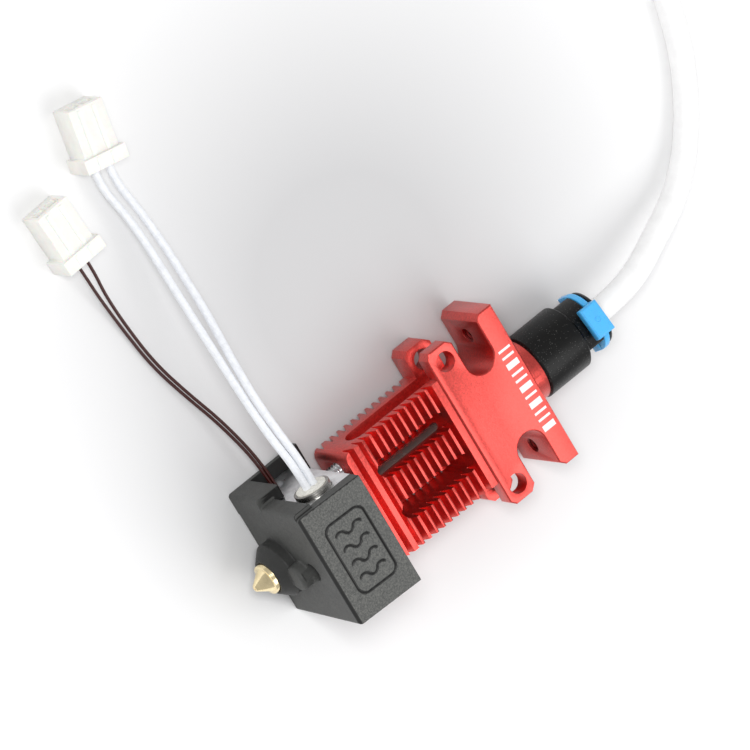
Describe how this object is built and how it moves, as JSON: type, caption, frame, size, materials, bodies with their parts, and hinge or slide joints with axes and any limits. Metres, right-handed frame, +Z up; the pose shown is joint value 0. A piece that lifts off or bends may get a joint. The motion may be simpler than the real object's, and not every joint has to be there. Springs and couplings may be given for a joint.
{
  "type": "3D printer hotend assembly",
  "caption": "Hotend of a 3D printer: finned cooling body, heater block in a soft sock, nozzle, push-in fitting with locking clip, guide tube and plugged leads.",
  "frame": {"origin": "on the surface it lies on, midway between the nozzle tip and the top of the collet, under the filament path", "axes": "+Y along the filament path from the nozzle towards the fitting, +Z up out of the front face of the head, +X to the right of the front face"},
  "size_m": [0.09, 0.1637, 0.0224],
  "materials": {
    "red_anodised": "matt red anodised",
    "steel": "turned",
    "block_aluminium": "milled",
    "brass": "turned",
    "silicone": "matt",
    "black_coated": "black, speckled",
    "black_plastic": "satin",
    "blue_plastic": "gloss",
    "white_tube": "translucent white",
    "ceramic_seal": "matt",
    "white_sleeve": "woven",
    "dark_lead": "satin",
    "ivory_plastic": "moulded",
    "contact_metal": "tinned"
  },
  "bodies": {
    "hotend": {"heat_sink": "red_anodised", "heat_break": "steel", "liner_tube": "white_tube", "heater_block": "block_aluminium", "nozzle": "brass", "heater_cartridge": "steel", "heater_end_seal": "ceramic_seal", "heater_clamp_screw": "steel", "thermistor_cartridge": "steel", "thermistor_clamp_screw": "steel", "stud_left": "steel", "stud_right": "steel", "fitting_body": "black_coated", "heater_wire_a": "white_sleeve", "heater_wire_b": "white_sleeve", "thermistor_wire_a": "dark_lead", "thermistor_wire_b": "dark_lead", "heater_plug_housing": "ivory_plastic", "heater_plug_contacts": "contact_metal", "thermistor_plug_housing": "ivory_plastic", "thermistor_plug_contacts": "contact_metal", "bowden_tube": "white_tube", "bowden_coil": "white_tube", "coil_tie": "black_plastic"},
    "sock": {"silicone_sock": "silicone"},
    "clip": {"collet_clip": "blue_plastic"},
    "collet": {"fitting_collet": "black_plastic", "collet_jaws": "steel"}
  },
  "joints": [
    {"name": "sock_pull_off", "type": "slide", "parent": "hotend", "child": "sock", "axis": [0, -1, 0], "range_m": [0, 0.025]},
    {"name": "clip_pull_off", "type": "slide", "parent": "hotend", "child": "clip", "axis": [-0.2334, 0, 0.9724], "range_m": [0, 0.014]},
    {"name": "collet_press", "type": "slide", "parent": "hotend", "child": "collet", "axis": [0, -1, 0], "range_m": [0, 0.0003]}
  ]
}
